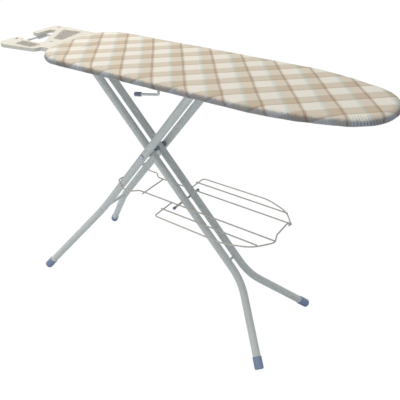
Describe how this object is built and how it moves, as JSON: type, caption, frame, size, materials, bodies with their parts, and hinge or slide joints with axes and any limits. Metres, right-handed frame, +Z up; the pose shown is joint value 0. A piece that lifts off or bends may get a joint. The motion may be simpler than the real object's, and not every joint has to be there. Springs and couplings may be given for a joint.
{
  "type": "ironing board",
  "caption": "Folding ironing board with a fitted cloth cover, crossed steel tube legs, a wire laundry shelf, an iron rest and a height release lever.",
  "frame": {"origin": "on the floor, under the middle of the whole length and width, with the board open at its working height", "axes": "+X along the board from the iron rest to the nose, +Y across the board, +Z up"},
  "size_m": [1.4339, 0.4622, 0.975],
  "materials": {
    "cover_cloth": "woven cotton, plaid in cream, tan and pale grey-green",
    "hem_elastic": "elastic cord",
    "foam": null,
    "hidden_steel": "perforated sheet, satin paint",
    "frame_steel": "satin paint",
    "leg_paint": "satin pale grey-blue paint",
    "shelf_paint": "satin warm grey paint",
    "bright_steel": "zinc plated",
    "grille_steel": "satin",
    "rest_plastic": "moulded, satin",
    "dark_plastic": "moulded",
    "block_plastic": "moulded, slippery",
    "foot_plastic": "moulded, slate blue-grey"
  },
  "bodies": {
    "board": {"cover": "cover_cloth", "hem_cord": "hem_elastic", "foam_pad": "foam", "steel_top": "hidden_steel", "rim_frame": "frame_steel", "cross_ribs": "frame_steel", "rail_near": "frame_steel", "rail_far": "frame_steel", "rail_rivets": "bright_steel", "hinge_bracket_near": "frame_steel", "hinge_bracket_far": "frame_steel", "hinge_pin": "bright_steel", "lever_clip_near": "dark_plastic", "lever_clip_far": "dark_plastic", "lever_spring": "bright_steel", "iron_rest": "rest_plastic", "rest_grille_far": "grille_steel", "rest_grille_near": "grille_steel", "rest_wire": "frame_steel", "rest_saddles": "rest_plastic", "board_saddles": "dark_plastic"},
    "inner_leg": {"inner_tube_near": "leg_paint", "inner_tube_far": "leg_paint", "inner_foot_near": "foot_plastic", "inner_foot_far": "foot_plastic", "inner_cross_bar": "leg_paint", "hinge_sleeve": "leg_paint", "hinge_ears": "leg_paint", "pivot_bolt": "bright_steel", "pivot_nut": "bright_steel", "pivot_spacer": "dark_plastic", "shelf_rod": "shelf_paint", "shelf_rod_caps": "dark_plastic"},
    "outer_leg": {"outer_tube_near": "leg_paint", "outer_tube_far": "leg_paint", "outer_foot_near": "foot_plastic", "outer_foot_far": "foot_plastic", "outer_cross_bar": "leg_paint", "outer_top_bar": "leg_paint", "pivot_bush_near": "dark_plastic", "pivot_bush_far": "dark_plastic", "cross_bar_rivets": "bright_steel"},
    "slide_carriage": {"slide_block_near": "block_plastic", "slide_block_far": "block_plastic"},
    "shelf": {"shelf_main_wires": "shelf_paint", "shelf_side_wires": "shelf_paint", "shelf_cross_wire": "shelf_paint", "shelf_rim_wire": "shelf_paint"},
    "latch": {"lever_wire": "frame_steel", "lever_grip": "dark_plastic", "latch_rack": "bright_steel"}
  },
  "joints": [
    {"name": "leg_fold", "type": "hinge", "parent": "board", "child": "inner_leg", "pos_m": [-0.33986, 0, 0.9325], "axis": [0, -1, 0], "range_deg": [0, 46.96]},
    {"name": "cross_pivot", "type": "hinge", "parent": "inner_leg", "child": "outer_leg", "pos_m": [-0.104, 0, 0.631], "axis": [0, -1, 0], "range_deg": [-93.92, 0]},
    {"name": "carriage_level", "type": "hinge", "parent": "outer_leg", "child": "slide_carriage", "pos_m": [0.13186, 0, 0.9325], "axis": [0, -1, 0], "range_deg": [0, 46.96]},
    {"name": "shelf_tilt", "type": "hinge", "parent": "outer_leg", "child": "shelf", "pos_m": [-0.2283, 0, 0.4997], "axis": [0, -1, 0], "range_deg": [0, 50]},
    {"name": "lever", "type": "hinge", "parent": "board", "child": "latch", "pos_m": [0.063, 0, 0.944], "axis": [0, 1, 0], "range_deg": [-4, 7], "stiffness_Nm_per_rad": 0.6, "springref_deg": -4}
  ],
  "couplings": [
    {"joint": "cross_pivot", "follows": "leg_fold", "ratio": -2},
    {"joint": "carriage_level", "follows": "leg_fold", "ratio": 1},
    {"joint": "shelf_tilt", "follows": "leg_fold", "ratio": 1.058}
  ]
}
